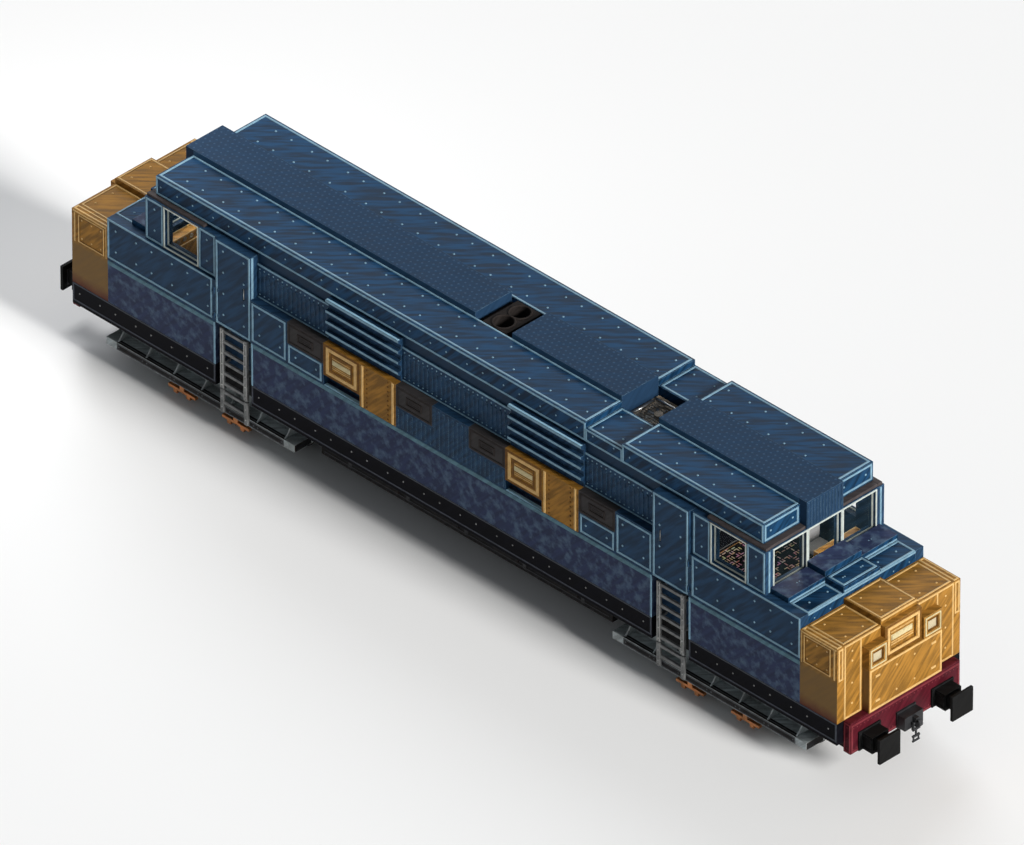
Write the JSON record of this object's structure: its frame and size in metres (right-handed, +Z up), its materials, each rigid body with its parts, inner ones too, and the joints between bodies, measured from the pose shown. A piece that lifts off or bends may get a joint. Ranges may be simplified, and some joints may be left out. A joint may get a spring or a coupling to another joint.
{
  "type": "diesel locomotive",
  "caption": "Double-ended diesel locomotive with low noses, raised cabs, hinged crew doors and swivelling bogies on flanged wheels.",
  "frame": {"origin": "on the ground plane under the middle of the body, level with the lowest points of the wheel flanges", "axes": "+X to the front end, +Y to the left side, +Z up"},
  "size_m": [22.53, 3.447, 5.2799],
  "materials": {
    "body_blue": "satin",
    "roof_blue": "satin",
    "wall_blue": "satin",
    "lower_blue": "satin",
    "nose_yellow": "satin",
    "beam_red": "satin",
    "black_paint": "satin",
    "black_steel": "matte",
    "buffer_steel": "satin",
    "forged_steel": "rough",
    "vent_grey": "matte",
    "exhaust_steel": "rough",
    "machinery_brown": "rough",
    "engine_green": "satin",
    "window_glass": "clear",
    "cab_floor": "matte",
    "desk_amber": "satin",
    "seat_grey": "worn",
    "ladder_grey": "worn",
    "bogie_grey": "matte",
    "copper_bracket": "worn",
    "wheel_steel": "worn"
  },
  "bodies": {
    "root": {"underframe": "black_steel", "sole_bars": "black_paint", "drag_boxes": "black_steel", "centre_tank": "black_steel", "buffer_beams": "beam_red", "buffers": "buffer_steel", "draw_hooks": "forged_steel", "coupling_links": "forged_steel", "side_walls": "wall_blue", "lower_panels": "lower_blue", "band_panels": "body_blue", "side_vents": "vent_grey", "grille_panels": "nose_yellow", "edge_panels": "nose_yellow", "ribbed_panels": "body_blue", "louvres": "body_blue", "roof_sides": "roof_blue", "roof_centre": "roof_blue", "exhaust": "exhaust_steel", "cooling_gear": "machinery_brown", "engine": "engine_green", "cab_front": "body_blue", "cab_rear": "body_blue", "cab_glass": "window_glass", "cab_floors": "cab_floor", "cab_desks": "desk_amber", "cab_seats": "seat_grey", "nose_decks": "roof_blue", "noses": "nose_yellow", "nose_plates": "nose_yellow", "marker_lights": "nose_yellow", "headcode_boxes": "nose_yellow", "ladders": "ladder_grey", "door_hinges": "body_blue"},
    "door_front_left": {"door_front_left": "body_blue"},
    "door_front_right": {"door_front_right": "body_blue"},
    "door_rear_left": {"door_rear_left": "body_blue"},
    "door_rear_right": {"door_rear_right": "body_blue"},
    "bogie_front": {"bogie_frame_front": "bogie_grey", "bogie_steps_front": "ladder_grey", "axle_boxes_front": "bogie_grey", "motors_front": "black_steel", "brake_brackets_front": "copper_bracket"},
    "bogie_rear": {"bogie_frame_rear": "bogie_grey", "bogie_steps_rear": "ladder_grey", "axle_boxes_rear": "bogie_grey", "motors_rear": "black_steel", "brake_brackets_rear": "copper_bracket"},
    "wheelset_1": {"wheelset_1": "wheel_steel"},
    "wheelset_2": {"wheelset_2": "wheel_steel"},
    "wheelset_3": {"wheelset_3": "wheel_steel"},
    "wheelset_4": {"wheelset_4": "wheel_steel"},
    "wheelset_5": {"wheelset_5": "wheel_steel"},
    "wheelset_6": {"wheelset_6": "wheel_steel"}
  },
  "joints": [
    {"name": "bogie_front_swivel", "type": "hinge", "parent": "root", "child": "bogie_front", "pos_m": [7, 0, 1.1], "axis": [0, 0, 1], "range_deg": [-4, 4]},
    {"name": "bogie_rear_swivel", "type": "hinge", "parent": "root", "child": "bogie_rear", "pos_m": [-7, 0, 1.1], "axis": [0, 0, 1], "range_deg": [-4, 4]},
    {"name": "wheelset_1_spin", "type": "hinge", "parent": "bogie_front", "child": "wheelset_1", "pos_m": [8.85, 0, 0.6], "axis": [0, 1, 0], "continuous": true},
    {"name": "wheelset_2_spin", "type": "hinge", "parent": "bogie_front", "child": "wheelset_2", "pos_m": [7, 0, 0.6], "axis": [0, 1, 0], "continuous": true},
    {"name": "wheelset_3_spin", "type": "hinge", "parent": "bogie_front", "child": "wheelset_3", "pos_m": [5.15, 0, 0.6], "axis": [0, 1, 0], "continuous": true},
    {"name": "wheelset_4_spin", "type": "hinge", "parent": "bogie_rear", "child": "wheelset_4", "pos_m": [-5.15, 0, 0.6], "axis": [0, 1, 0], "continuous": true},
    {"name": "wheelset_5_spin", "type": "hinge", "parent": "bogie_rear", "child": "wheelset_5", "pos_m": [-7, 0, 0.6], "axis": [0, 1, 0], "continuous": true},
    {"name": "wheelset_6_spin", "type": "hinge", "parent": "bogie_rear", "child": "wheelset_6", "pos_m": [-8.85, 0, 0.6], "axis": [0, 1, 0], "continuous": true},
    {"name": "door_front_left_hinge", "type": "hinge", "parent": "root", "child": "door_front_left", "pos_m": [6.5, 1.7055, 3.6], "axis": [0, 0, -1], "range_deg": [0, 90]},
    {"name": "door_front_right_hinge", "type": "hinge", "parent": "root", "child": "door_front_right", "pos_m": [6.5, -1.7055, 3.6], "axis": [0, 0, 1], "range_deg": [0, 90]},
    {"name": "door_rear_left_hinge", "type": "hinge", "parent": "root", "child": "door_rear_left", "pos_m": [-6.5, 1.7055, 3.6], "axis": [0, 0, 1], "range_deg": [0, 90]},
    {"name": "door_rear_right_hinge", "type": "hinge", "parent": "root", "child": "door_rear_right", "pos_m": [-6.5, -1.7055, 3.6], "axis": [0, 0, -1], "range_deg": [0, 90]}
  ]
}
